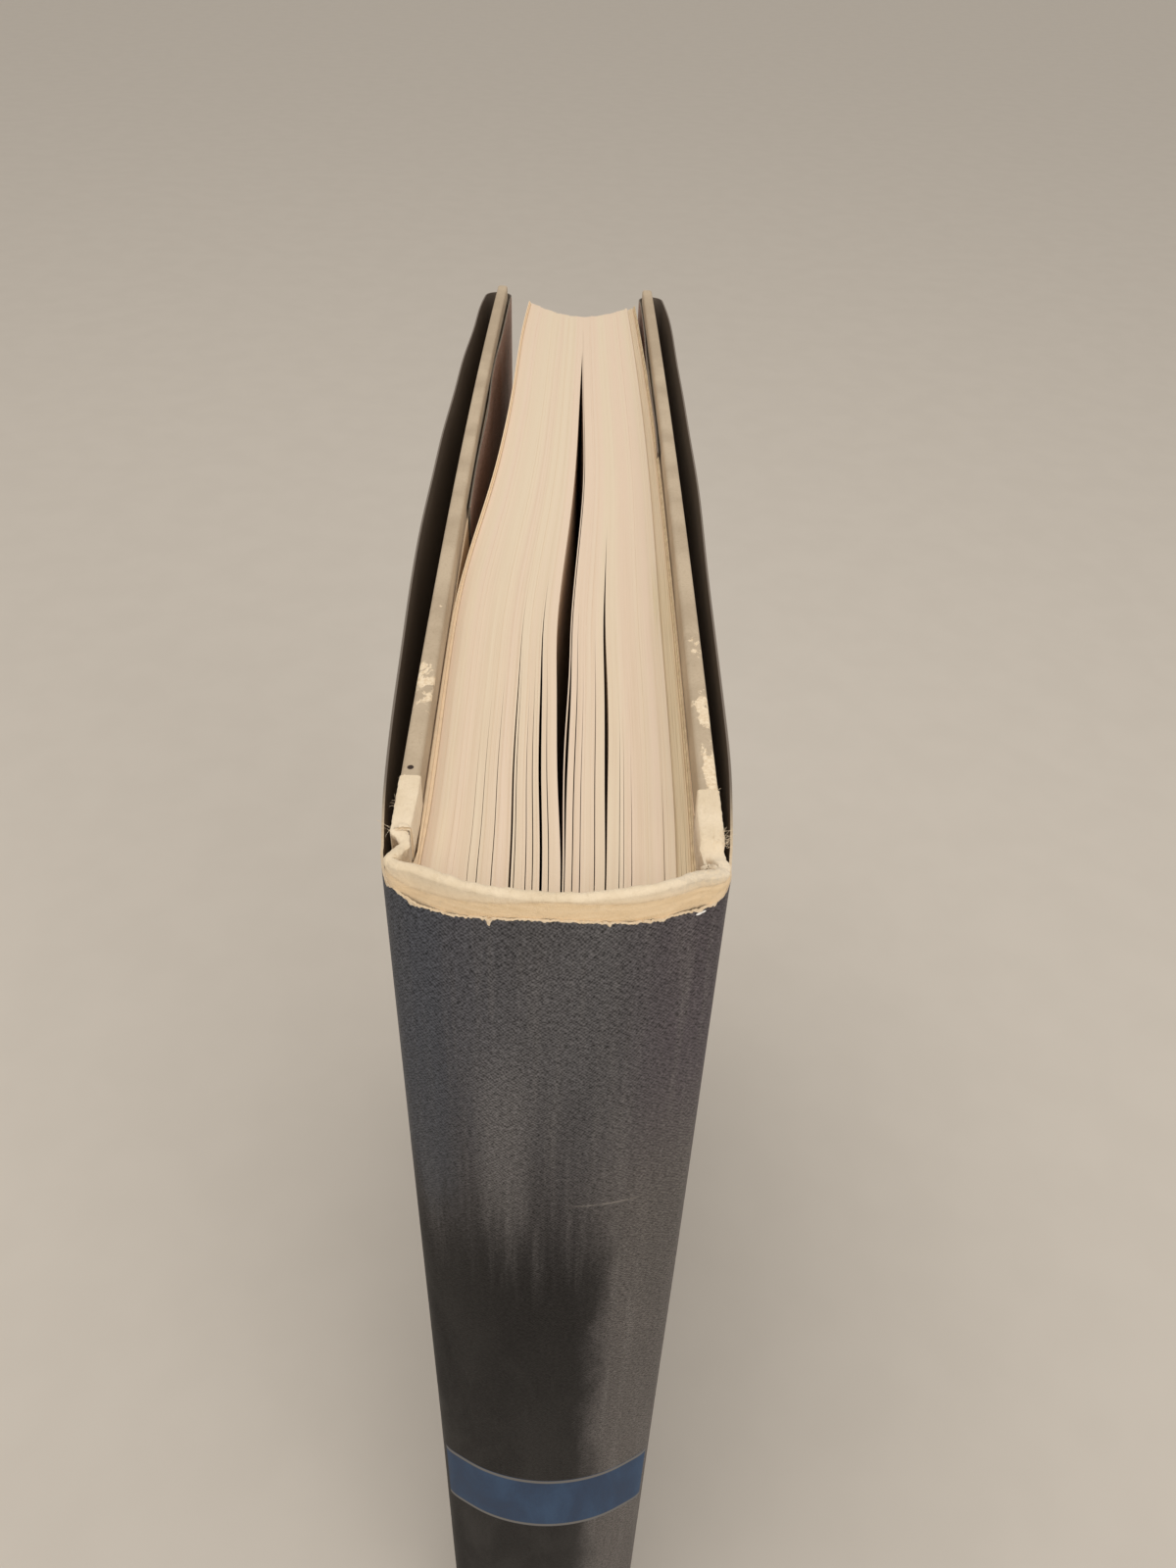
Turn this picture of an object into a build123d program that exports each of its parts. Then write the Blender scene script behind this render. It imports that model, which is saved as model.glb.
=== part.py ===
from build123d import *
import os
from dataclasses import dataclass
from math import asin, cos, degrees, sin, sqrt

# Hardcover book in a paper dust jacket, in millimetres. It stands on its head edge, with the tail
# edge up. X runs across the thickness, with the front cover at -X. Y runs from the spine towards
# the fore-edge, and Z from the head edge up to the tail edge.
# Plan measures start at the line through the two corners of the rounded spine.

# Case
case_height = 260.0
board_width = 177.5
board_thickness = 1.6
joint_width = 3.8
spine_width = 31.5
spine_rise = 4.75
cloth_thickness = 0.3
paper_thickness = 0.2
inlay_thickness = 0.5
turn_in = 15.0
pastedown_cover = 0.1
cloth_on_board = 8.8
square = 3.0

# Set of the covers: outer faces from the middle plane, at the joint and the fore-edge, and warp
front_joint_reach = 16.2
front_fore_reach = 17.0
front_warp = 0.8
back_joint_reach = 16.1
back_fore_reach = 16.0
back_warp = 0.5

# Joints of the cloth spine
groove_depth = 0.7
corner_radius = 1.0

# Hinge lines of the two covers
hinge_line = 2.0
hinge_reach = 17.2
hinge_gap = 0.4

# Leaves
leaf_width = 177.6
leaf_height = 254.0
head_square = 1.6
hollow_back = 0.25
fore_hollow = 6.5
front_spine_half = 12.6
back_spine_half = 12.9
front_fore_half = 9.6
back_fore_half = 11.1
swell_stations = (9.0, 58.0, 100.0)
front_swell = (13.15, 13.95, 13.5)
back_swell = (12.95, 13.6, 13.2)
leaf_thickness = 0.2

# Gaps between leaves, seen at the tail: place across the spine edge, lean, length, width, depth
main_gap = (0.4, 1.2, 158.0, 2.3, 170.0)
side_gaps = (
    (-9.3, -1.6, 30.0, 0.35, 50.0),
    (-6.7, -1.8, 40.0, 0.35, 60.0),
    (-4.6, -1.6, 58.0, 0.5, 80.0),
    (-2.7, -1.1, 44.0, 0.45, 70.0),
    (2.9, 0.7, 44.0, 0.4, 70.0),
    (4.7, 1.4, 72.0, 0.7, 90.0),
    (7.0, 1.3, 34.0, 0.35, 50.0),
)

# Linings glued over the spine of the leaves, and the sheets that cross the joint
mull_thickness = 0.2
lining_thickness = 0.2
mull_margin = 25.0
mull_on_board = 22.0
mull_reach = 13.9
endpaper_reach = 13.5

# Dust jacket
jacket_height = 257.4
jacket_thickness = 0.25
jacket_gap = 0.25
jacket_joint_reach = 16.9
jacket_corner_radius = 1.6
front_bulge = 4.3
back_bulge = 2.5
front_fold_reach = 19.4
back_fold_reach = 18.4
fold_room = 1.4
flap_width = 80.0
flap_gap = 0.15


@dataclass
class Cover:
    """Set of one cover. side is -1 at the front and +1 at the back."""

    name: str
    side: int
    joint_reach: float
    fore_reach: float
    warp: float
    bulge: float
    fold_reach: float
    spine_half: float
    swell: tuple
    fore_half: float

    def face_point(self, along, depth):
        """Plan point at a distance from the board's spine edge, under the cover's outer face."""
        radius = (board_width**2 / 4 + self.warp**2) / (2 * self.warp)
        angle = (along - board_width / 2) / radius
        slope = (self.fore_reach - self.joint_reach) / board_width
        middle = (self.joint_reach + self.fore_reach) / 2
        out = (radius - depth) * cos(angle) - (radius - self.warp)
        forward = (radius - depth) * sin(angle)
        return (
            self.side * (middle + out + slope * forward),
            joint_width + board_width / 2 + forward - slope * out,
        )

    @property
    def inward(self):
        """Side of a line that runs from the spine to the fore-edge which faces the leaves."""
        return Side.RIGHT if self.side < 0 else Side.LEFT

    def leaf_side(self, stand_off=0.0):
        """Plan points along this side of the leaves, from the spine edge to the fore-edge."""
        start = spine_point(self.spine_half + stand_off, leaf_depth)
        swell = [(half + stand_off, station) for half, station in zip(self.swell, swell_stations)]
        end = (self.fore_half + stand_off, leaf_width)
        return [(self.side * x, y) for x, y in (start, *swell, end)]


def spine_point(across, depth):
    """Plan point on the rounded spine, at a depth under its outer face."""
    return (across, spine_centre - sqrt((spine_radius - depth) ** 2 - across**2))


spine_radius = (spine_width**2 / 4 + spine_rise**2) / (2 * spine_rise)
spine_centre = spine_radius - spine_rise
groove_reach = spine_width / 2 - groove_depth
rim_thickness = 2 * cloth_thickness + inlay_thickness
rim_radius = rim_thickness / 2
lining_depth = rim_thickness + hollow_back
mull_depth = lining_depth + lining_thickness
leaf_depth = mull_depth + mull_thickness
inner_face = cloth_thickness + board_thickness
pastedown_face = inner_face + cloth_thickness + pastedown_cover
flap_depth = pastedown_face + flap_gap
fore_end = joint_width + board_width
head_edge = head_square
tail_edge = head_square + leaf_height

front = Cover("front", -1, front_joint_reach, front_fore_reach, front_warp, front_bulge,
              front_fold_reach, front_spine_half, front_swell, front_fore_half)
back = Cover("back", 1, back_joint_reach, back_fore_reach, back_warp, back_bulge,
             back_fold_reach, back_spine_half, back_swell, back_fore_half)


def jacket_path(cover):
    """Outer line of a jacket panel, its fold round the fore-edge and its flap, as a wire."""
    side = cover.side
    start = (side * jacket_joint_reach, hinge_line + hinge_gap / 2)
    end = (side * cover.fold_reach, fore_end + fold_room)
    middle = (
        side * ((jacket_joint_reach + cover.fold_reach) / 2 + cover.bulge),
        (start[1] + end[1]) / 2,
    )
    depth = flap_depth + jacket_thickness
    flap = [cover.face_point(board_width - reach, depth) for reach in (0, flap_width / 2, flap_width)]
    with BuildLine() as path:
        panel = ThreePointArc(start, middle, end)
        TangentArc(panel @ 1, flap[0], tangent=panel % 1)
        ThreePointArc(*flap)
    return path.wires()[0]


def sheet(path, thickness, inward):
    """Plan face of a sheet whose outer face follows a line."""
    with BuildSketch() as face:
        with BuildLine():
            offset(path, amount=thickness, side=inward, closed=True)
        make_face()
    return face.sketch


def spine_path(stand_off, reach, radius):
    """Line round the spine from one hinge line to the other, outside the cloth by a stand-off."""
    corners = [spine_point(x, -stand_off) for x in (-spine_width / 2, 0, spine_width / 2)]
    with BuildLine() as path:
        arc = ThreePointArc(*corners)
        Line(arc @ 0, (-reach, hinge_line - hinge_gap / 2))
        Line(arc @ 1, (reach, hinge_line - hinge_gap / 2))
        fillet([path.vertices().sort_by_distance(corner)[0] for corner in (arc @ 0, arc @ 1)], radius)
    return path.wires()[0]


def raise_face(face, bottom, top, mode=Mode.ADD):
    """Extrude a plan face between two heights of the book, into the part being built."""
    extrude(to_extrude=plan.offset(bottom) * face, amount=top - bottom, mode=mode)


def cover_layer(cover, start, stop, outer, inner):
    """Plan face of one layer of a cover, between two depths under its outer face."""
    middle = (start + stop) / 2
    with BuildSketch() as face:
        with BuildLine():
            near = ThreePointArc(*[cover.face_point(s, outer) for s in (start, middle, stop)])
            far = ThreePointArc(*[cover.face_point(s, inner) for s in (start, middle, stop)])
            Line(near @ 0, far @ 0)
            Line(near @ 1, far @ 1)
        make_face()
    return face.sketch


def spine_layer(left, right, outer, inner):
    """Plan face of one layer of the rounded spine, between two depths under its outer face."""
    middle = (left + right) / 2
    with BuildSketch() as face:
        with BuildLine():
            near = ThreePointArc(*[spine_point(x, outer) for x in (left, middle, right)])
            far = ThreePointArc(*[spine_point(x, inner) for x in (left, middle, right)])
            Line(near @ 0, far @ 0)
            Line(near @ 1, far @ 1)
        make_face()
    return face.sketch


# The jacket reaches furthest each way, so it sets the middle of the book's footprint
jacket_faces = [sheet(jacket_path(cover), jacket_thickness, cover.inward) for cover in (front, back)]
jacket_line = spine_path(jacket_gap + jacket_thickness, jacket_joint_reach, jacket_corner_radius)
jacket_spine_face = sheet(jacket_line, jacket_thickness, Side.LEFT)
outline = Compound(children=[*jacket_faces, jacket_spine_face])
middle = outline.bounding_box().center()
plan = Plane(origin=(-middle.X, -middle.Y, 0))


def joint_tab(cover, half, depth, reach, thickness):
    """Plan face of a sheet from the spine edge of the leaves out to the hinge line."""
    start = spine_point(cover.side * half, depth)
    end = (cover.side * reach, hinge_line - hinge_gap / 2)
    with BuildLine() as path:
        Line(start, end)
    return sheet(path.wires()[0], thickness, cover.inward)


def joint_layer(cover, reach, outer, inner):
    """Plan face of a sheet from the hinge line to the board's spine edge, between two depths."""
    half = (inner - outer) / 2
    hinge = [(cover.side * (reach + offset), hinge_line + hinge_gap / 2) for offset in (half, -half)]
    with BuildSketch() as face:
        with BuildLine():
            Polyline(hinge[0], cover.face_point(0, outer), cover.face_point(0, inner), hinge[1],
                     close=True)
        make_face()
    return face.sketch


def export(part, name):
    """Label a finished piece and write it out."""
    part.label = name
    export_step(part, f"parts/{name}.step")


os.makedirs("parts", exist_ok=True)

# Leaves: rounded at the spine, swollen where they stand apart, hollow at the fore-edge
with BuildSketch() as leaf_face:
    with BuildLine():
        front_side = Spline(*front.leaf_side())
        back_side = Spline(*back.leaf_side())
        ThreePointArc(front_side @ 0, spine_point(0, leaf_depth), back_side @ 0)
        fore_middle = ((front_side @ 1).X + (back_side @ 1).X) / 2
        ThreePointArc(front_side @ 1, (fore_middle, leaf_width - fore_hollow), back_side @ 1)
    make_face()


def leaf_gap(place, lean, length, width, depth):
    """Cut the pointed slot that opens between two leaves at the tail edge."""
    start = (place, spine_point(place, leaf_depth)[1] + leaf_thickness)
    end = (place + lean, start[1] + length)
    middle = ((start[0] + end[0]) / 2, start[1] + 0.45 * length)
    with BuildSketch() as slot:
        with BuildLine():
            ThreePointArc(start, (middle[0] - width / 2, middle[1]), end)
            ThreePointArc(start, (middle[0] + width / 2, middle[1]), end)
        make_face()
    raise_face(slot.sketch, tail_edge - depth, tail_edge, Mode.SUBTRACT)


with BuildPart() as text_block:
    raise_face(leaf_face.sketch, head_edge, tail_edge)
    for gap in (main_gap, *side_gaps):
        leaf_gap(*gap)
export(text_block.part, "text_block")

# Gauze over the rounded spine of the leaves, with its two edges that leave it at the joints
mull_over = leaf_thickness + mull_thickness
with BuildPart() as spine_mull:
    mull_face = spine_layer(-front_spine_half - mull_over, back_spine_half + mull_over,
                            mull_depth, leaf_depth)
    raise_face(mull_face, mull_margin, case_height - mull_margin)
    for cover in (front, back):
        tab = joint_tab(cover, cover.spine_half + mull_over, mull_depth, mull_reach, mull_thickness)
        raise_face(tab, mull_margin, case_height - mull_margin)
export(spine_mull.part, "spine_mull")

with BuildPart() as spine_lining:
    raise_face(spine_layer(-front_spine_half, back_spine_half, lining_depth, mull_depth),
               head_edge, tail_edge)
export(spine_lining.part, "spine_lining")

# Card inlay, under the cloth of the spine
inlay_half = spine_width / 2 - corner_radius - cloth_thickness
with BuildPart() as spine_inlay:
    raise_face(spine_layer(-inlay_half, inlay_half, cloth_thickness, cloth_thickness + inlay_thickness),
               rim_radius, case_height - rim_radius)
export(spine_inlay.part, "spine_inlay")

# Cloth of the spine, turned in over the inlay and doubled at the joints, at the head and the tail
cloth_line = spine_path(0, groove_reach, corner_radius)
cloth_face = sheet(cloth_line, cloth_thickness, Side.LEFT)
with BuildSketch() as doubled_face:
    add(sheet(cloth_line, 2 * cloth_thickness, Side.LEFT))
    Rectangle(2 * inlay_half, spine_width, mode=Mode.SUBTRACT)
turned_in = spine_layer(-inlay_half, inlay_half, cloth_thickness + inlay_thickness, rim_thickness)


def spine_rim(height, first_angle):
    """Turn the rounded rim of the cloth about the spine's centre, at the head or the tail."""
    spread = asin(inlay_half / (spine_radius - rim_thickness))
    centre = plan * Location((0, spine_centre, 0))
    profile_plane = Plane(origin=centre.position, x_dir=(-sin(spread), -cos(spread), 0),
                          z_dir=(-cos(spread), sin(spread), 0))
    with BuildSketch(profile_plane) as profile:
        with BuildLine():
            CenterArc((spine_radius - rim_radius, height), rim_radius, first_angle, 180)
            Line((spine_radius - rim_thickness, height), (spine_radius, height))
        make_face()
    revolve(profile.sketch, axis=Axis(centre.position, (0, 0, 1)), revolution_arc=degrees(2 * spread))


with BuildPart() as spine_cloth:
    raise_face(cloth_face, rim_radius, case_height - rim_radius)
    for bottom, top in ((0, turn_in), (case_height - turn_in, case_height)):
        raise_face(doubled_face.sketch, bottom, top)
    raise_face(turned_in, rim_radius, turn_in)
    raise_face(turned_in, case_height - turn_in, case_height - rim_radius)
    spine_rim(rim_radius, 180)
    spine_rim(case_height - rim_radius, 0)
export(spine_cloth.part, "spine_cloth")

# Jacket over the spine
with BuildPart() as jacket_spine:
    raise_face(jacket_spine_face, 0, jacket_height)
export(jacket_spine.part, "jacket_spine")


def board(cover):
    """The cover's board, inside its cloth and paper."""
    with BuildPart() as piece:
        raise_face(cover_layer(cover, 0, board_width - cloth_thickness, cloth_thickness, inner_face),
                   cloth_thickness, case_height - cloth_thickness)
    return piece.part


def board_cloth(cover):
    """Cloth along the spine side of a board, with its turn-ins and its half of the joint."""
    single = joint_layer(cover, groove_reach, 0, cloth_thickness)
    double = joint_layer(cover, groove_reach, 0, 2 * cloth_thickness)
    outside = cover_layer(cover, 0, cloth_on_board, 0, cloth_thickness)
    edge_wrap = cover_layer(cover, 0, cloth_on_board, 0, inner_face + cloth_thickness)
    inside = cover_layer(cover, 0, cloth_on_board, inner_face, inner_face + cloth_thickness)
    with BuildPart() as piece:
        for face in (single, outside):
            raise_face(face, 0, case_height)
        for bottom, top in ((0, cloth_thickness), (case_height - cloth_thickness, case_height)):
            raise_face(edge_wrap, bottom, top)
        for bottom, top in ((0, turn_in), (case_height - turn_in, case_height)):
            raise_face(inside, bottom, top)
            raise_face(double, bottom, top)
    return piece.part


def side_paper(cover):
    """Paper over the rest of a board, turned in at the head, the tail and the fore-edge."""
    outer = cloth_thickness - paper_thickness
    inner = inner_face + paper_thickness
    outside = cover_layer(cover, cloth_on_board, board_width, outer, cloth_thickness)
    edge_wrap = cover_layer(cover, cloth_on_board, board_width, outer, inner)
    fore_wrap = cover_layer(cover, board_width - cloth_thickness, board_width, outer, inner)
    inside = cover_layer(cover, cloth_on_board, board_width, inner_face, inner)
    fore_inside = cover_layer(cover, board_width - turn_in, board_width, inner_face, inner)
    with BuildPart() as piece:
        for face in (outside, fore_wrap, fore_inside):
            raise_face(face, 0, case_height)
        for bottom, top in ((0, cloth_thickness), (case_height - cloth_thickness, case_height)):
            raise_face(edge_wrap, bottom, top)
        for bottom, top in ((0, turn_in), (case_height - turn_in, case_height)):
            raise_face(inside, bottom, top)
    return piece.part


def mull_flange(cover):
    """The spine's gauze where it is glued inside the cover, over the joint and the board."""
    inner = inner_face + mull_thickness
    with BuildPart() as piece:
        for face in (joint_layer(cover, mull_reach, inner_face, inner),
                     cover_layer(cover, 0, mull_on_board, inner_face, inner)):
            raise_face(face, mull_margin, case_height - mull_margin)
    return piece.part


def pastedown(cover, *under):
    """The glued half of an endpaper, closed over the turn-ins and the gauze under it."""
    outer = pastedown_face - paper_thickness
    with BuildPart() as piece:
        raise_face(joint_layer(cover, endpaper_reach, outer, pastedown_face), head_edge, tail_edge)
        raise_face(cover_layer(cover, 0, board_width - square, inner_face, pastedown_face),
                   head_edge, tail_edge)
        add(list(under), mode=Mode.SUBTRACT)
    return piece.part


def flyleaf(cover):
    """The free half of an endpaper, against the leaves, with its fold towards the joint."""
    with BuildSketch() as face:
        with BuildLine():
            near = Spline(*cover.leaf_side())
            far = Spline(*cover.leaf_side(leaf_thickness))
            Line(near @ 0, far @ 0)
            Line(near @ 1, far @ 1)
        make_face()
    with BuildPart() as piece:
        raise_face(face.sketch, head_edge, tail_edge)
        fold = joint_tab(cover, cover.spine_half + leaf_thickness, leaf_depth, endpaper_reach, leaf_thickness)
        raise_face(fold, head_edge, tail_edge)
        add([text_block.part, spine_mull.part], mode=Mode.SUBTRACT)
    return piece.part


def jacket(face):
    """Jacket panel with its flap, folded round the cover's fore-edge."""
    with BuildPart() as piece:
        raise_face(face, 0, jacket_height)
    return piece.part


for cover, jacket_face in zip((front, back), jacket_faces):
    cloth = board_cloth(cover)
    paper = side_paper(cover)
    flange = mull_flange(cover)
    export(board(cover), f"{cover.name}_board")
    export(cloth, f"{cover.name}_cloth")
    export(paper, f"{cover.name}_side_paper")
    export(flange, f"{cover.name}_mull_flange")
    export(pastedown(cover, cloth, paper, flange), f"{cover.name}_pastedown")
    export(flyleaf(cover), f"{cover.name}_flyleaf")
    export(jacket(jacket_face), f"{cover.name}_jacket")
    print(cover.name, "hinge at", [round(value, 4) for value in
                                   (cover.side * hinge_reach - middle.X, hinge_line - middle.Y)])

print("footprint", outline.bounding_box().size, "shift", middle)
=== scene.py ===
from functools import partialmethod
from math import cos, exp, pi, radians, sin, sqrt

import bpy
import numpy as np
from mathutils import Matrix, Vector


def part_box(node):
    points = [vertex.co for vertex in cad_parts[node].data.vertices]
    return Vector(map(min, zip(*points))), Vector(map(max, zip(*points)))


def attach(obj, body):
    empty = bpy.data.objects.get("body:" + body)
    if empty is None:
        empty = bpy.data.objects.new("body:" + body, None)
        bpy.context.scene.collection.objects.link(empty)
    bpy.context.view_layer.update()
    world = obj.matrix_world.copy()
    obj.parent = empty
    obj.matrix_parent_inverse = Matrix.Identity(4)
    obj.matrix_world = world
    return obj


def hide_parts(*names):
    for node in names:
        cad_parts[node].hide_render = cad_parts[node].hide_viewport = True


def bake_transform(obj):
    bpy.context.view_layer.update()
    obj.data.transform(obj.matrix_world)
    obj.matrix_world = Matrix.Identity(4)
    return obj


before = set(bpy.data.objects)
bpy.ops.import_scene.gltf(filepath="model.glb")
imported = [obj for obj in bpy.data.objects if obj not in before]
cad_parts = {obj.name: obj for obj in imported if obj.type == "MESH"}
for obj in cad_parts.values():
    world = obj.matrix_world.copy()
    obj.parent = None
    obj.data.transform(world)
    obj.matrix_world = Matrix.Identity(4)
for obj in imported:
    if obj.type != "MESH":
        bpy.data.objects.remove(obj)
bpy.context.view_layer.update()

MM = 0.001

# Plan coordinates, in millimetres: the middle plane of the spine is x = 0, and the line through
# the two corners of the rounded spine is y = 0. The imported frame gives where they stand.
SPINE_RISE = 4.75
inlay_low, inlay_high = (np.array(corner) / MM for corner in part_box("spine_inlay"))
cloth_low, cloth_high = (np.array(corner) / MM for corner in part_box("spine_cloth"))
block_low, block_high = (np.array(corner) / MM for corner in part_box("text_block"))
SHIFT = np.array([(inlay_low[0] + inlay_high[0]) / 2, cloth_low[1] + SPINE_RISE, 0.0])
TAIL = cloth_high[2]
BLOCK_TAIL = block_high[2]
BLOCK_HEAD = block_low[2]


# Case
SPINE_HALF = 15.75
SPINE_RADIUS = (SPINE_HALF**2 + SPINE_RISE**2) / (2 * SPINE_RISE)
SPINE_CENTRE = SPINE_RADIUS - SPINE_RISE
BOARD_START = 3.8
BOARD_WIDTH = 177.5
BOARD_ROUND = 0.5
CLOTH_ON_BOARD = {"front": 8.8, "back": 7.7}
CLOTH = 0.3
PAPER = 0.2
# The side paper lies this far inside the cover's two faces
PAPER_INSET = 0.1
COVER = 2.2
TURN_IN = 15.0
# Past this place the cloth's outer line is in the joint
JOINT_X = 13.5

# Jacket
JACKET = 0.25
JACKET_OUT = 0.5
FLAP_WIDTH = {"front": 102.0, "back": 80.0}
FLAP_DEPTH = COVER + 0.25 + JACKET
BAND_LOW = TAIL - 145.6
BAND_HIGH = TAIL - 127.2

# Leaves
LEAF_DEPTH = 1.75
FORE_Y = 178.6
FORE_HOLLOW = 8.5
# How much higher the leaves stand at the fore-edge of the tail than at the spine
LEAF_LIFT = 1.9
SPINE_LEFT = 12.9
SPINE_RIGHT = 13.1
KHAKI_FROM = 11.5
MAIN_GAP = 0.5
MAIN_GAP_DEPTH = 190.0

# The angle from which an edge is drawn sharp, in degrees
SHARP = 40

# Each side: sign, board reach at the joint and the fore-edge, and the board's warp
SIDES = {
    "front": dict(sign=-1, joint=16.2, fore=17.0, warp=0.8),
    "back": dict(sign=1, joint=16.1, fore=16.0, warp=0.5),
}


# Plan geometry


def smoothstep(t):
    t = np.clip(t, 0.0, 1.0)
    return t * t * (3 - 2 * t)


def ramp(x, start, run):
    """A smooth rise from 0 to 1, downwards from the start where the run is negative."""
    return smoothstep((x - start) / run)


def bell(x, centre, width):
    return np.exp(-(((x - centre) / width) ** 2))


def look_up(x, table):
    """Value at x of a table of pairs."""
    return np.interp(x, *np.array(table).T)


def face_point(side, along, depth=0.0):
    """Plan point of a cover, by distance from the board's spine edge and depth under its face."""
    s = SIDES[side]
    radius = (BOARD_WIDTH**2 / 4 + s["warp"] ** 2) / (2 * s["warp"])
    angle = (along - BOARD_WIDTH / 2) / radius
    slope = (s["fore"] - s["joint"]) / BOARD_WIDTH
    out = (radius - depth) * cos(angle) - (radius - s["warp"])
    forward = (radius - depth) * sin(angle)
    x = (s["joint"] + s["fore"]) / 2 + out + slope * forward
    return np.array([s["sign"] * x, BOARD_START + BOARD_WIDTH / 2 + forward - slope * out])


def spine_y(x, out=0.0):
    """Where the rounded spine stands at x, a distance outside the cloth."""
    return SPINE_CENTRE - sqrt((SPINE_RADIUS + out) ** 2 - x**2)


def arc_points(a, b, c, count):
    """Points along the circle through three plan points, from a to c."""
    a, b, c = (np.array(p, float) for p in (a, b, c))
    m = np.array([b - a, c - b]) * 2
    centre = np.linalg.solve(m, np.array([b @ b - a @ a, c @ c - b @ b]))
    start = np.arctan2(*(a - centre)[::-1])
    turn = np.arctan2(*(c - centre)[::-1]) - start
    turn = (turn + pi) % (2 * pi) - pi
    radius = np.linalg.norm(a - centre)
    middle = centre + radius * np.array([cos(start + turn / 2), sin(start + turn / 2)])
    if np.linalg.norm(middle - b) > np.linalg.norm(2 * centre - middle - b):
        turn -= np.sign(turn) * 2 * pi
    angles = start + turn * np.linspace(0, 1, count)
    return centre + radius * np.column_stack([np.cos(angles), np.sin(angles)])


def chain(*stretches):
    """One polyline from several, without the points that they share."""
    points = [np.array(stretches[0], float)]
    points += [np.array(stretch, float)[1:] for stretch in stretches[1:]]
    return np.vstack(points)


def lengths(points):
    steps = np.linalg.norm(np.diff(points, axis=0), axis=1)
    return np.r_[0.0, np.cumsum(steps)]


def resample(points, at):
    """Points of a polyline at given distances along it."""
    run = lengths(points)
    return np.column_stack([np.interp(at, run, points[:, k]) for k in range(points.shape[1])])


def soften(points, reach, step=0.1):
    """Round the corners of a polyline over a reach, keeping its two ends."""
    run = lengths(points)[-1]
    dense = resample(points, np.linspace(0, run, int(run / step) + 1))
    size = int(reach / step) // 2 * 2 + 1
    ends = np.vstack([np.repeat(dense[:1], size // 2, 0), dense, np.repeat(dense[-1:], size // 2, 0)])
    kernel = np.hanning(size + 2)[1:-1]
    kernel /= kernel.sum()
    smooth = np.column_stack([np.convolve(ends[:, k], kernel, "valid") for k in range(2)])
    fade = smoothstep(np.minimum(np.arange(len(dense)), np.arange(len(dense))[::-1]) * step / reach)
    return dense + (smooth - dense) * fade[:, None]


def normals(points):
    """Unit normals of a polyline, to the left of its run."""
    run = np.gradient(points, axis=0)
    run /= np.linalg.norm(run, axis=1)[:, None] + 1e-12
    return np.column_stack([-run[:, 1], run[:, 0]])


def natural_spline(table):
    """A smooth curve through a few points, as a function."""
    x, y = np.array(table, float).T
    n = len(x)
    h = np.diff(x)
    a = np.zeros((n, n))
    b = np.zeros(n)
    a[0, 0] = a[-1, -1] = 1
    for i in range(1, n - 1):
        a[i, i - 1:i + 2] = h[i - 1], 2 * (h[i - 1] + h[i]), h[i]
        b[i] = 3 * ((y[i + 1] - y[i]) / h[i] - (y[i] - y[i - 1]) / h[i - 1])
    c = np.linalg.solve(a, b)

    def value(t):
        t = np.asarray(t, float)
        i = np.clip(np.searchsorted(x, t) - 1, 0, n - 2)
        d = (c[i + 1] - c[i]) / (3 * h[i])
        s = (y[i + 1] - y[i]) / h[i] - h[i] * (2 * c[i] + c[i + 1]) / 3
        u = t - x[i]
        return y[i] + s * u + c[i] * u**2 + d * u**3

    return value


def wavy(x, waves, seed):
    """Smooth one-dimensional noise, as a sum of sines: waves are pairs of wavelength and height."""
    draw = np.random.default_rng(seed)
    total = np.zeros_like(np.asarray(x, float))
    for wavelength, height in waves:
        for _ in range(3):
            k = 2 * pi / (wavelength * draw.uniform(0.7, 1.4))
            total += height / 1.7 * np.sin(k * x + draw.uniform(0, 2 * pi))
    return total


# Mesh helpers


def to_frame(points):
    """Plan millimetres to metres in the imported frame."""
    return (np.asarray(points, float) + SHIFT) * MM


def add_object(name, data):
    obj = bpy.data.objects.new(name, data)
    bpy.context.scene.collection.objects.link(obj)
    return obj


def mesh_object(name, points, faces, flow=(), sharp=SHARP, **values):
    """A mesh from plan points, with the flow and the values that its material reads by point."""
    mesh = bpy.data.meshes.new(name)
    mesh.from_pydata([tuple(point) for point in to_frame(points)], [], faces)
    if len(flow):
        attribute = mesh.attributes.new("flow", "FLOAT_VECTOR", "POINT")
        attribute.data.foreach_set("vector", np.asarray(flow, np.float32).ravel())
    for key, items in values.items():
        attribute = mesh.attributes.new(key, "FLOAT", "POINT")
        attribute.data.foreach_set("value", np.asarray(items, np.float32).ravel())
    mesh.update()
    mesh.shade_smooth()
    mesh.set_sharp_from_angle(angle=radians(sharp))
    return add_object(name, mesh)


def grid_faces(rows, columns, flip=False, skip=lambda i, j: False):
    """Quads of a grid of points, rows by columns."""
    faces = []
    for i in range(rows - 1):
        for j in range(columns - 1):
            a = i * columns + j
            quad = (a, a + 1, a + columns + 1, a + columns)
            if not skip(i, j):
                faces.append(quad[::-1] if flip else quad)
    return faces


def slab_faces(base, rows, columns):
    """Faces of a thin slab, whose points are numbered by row, then by side, then along the row."""
    at = base + np.arange(rows * 2 * columns).reshape(rows, 2, columns)
    faces = []
    for grid in (at[:, 0], at[:, 1, ::-1], at[:, :, -1], at[:, ::-1, 0], at[-1], at[0, :, ::-1]):
        corners = (grid[:-1, :-1], grid[1:, :-1], grid[1:, 1:], grid[:-1, 1:])
        faces += np.stack(corners, -1).reshape(-1, 4).tolist()
    return faces


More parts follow.
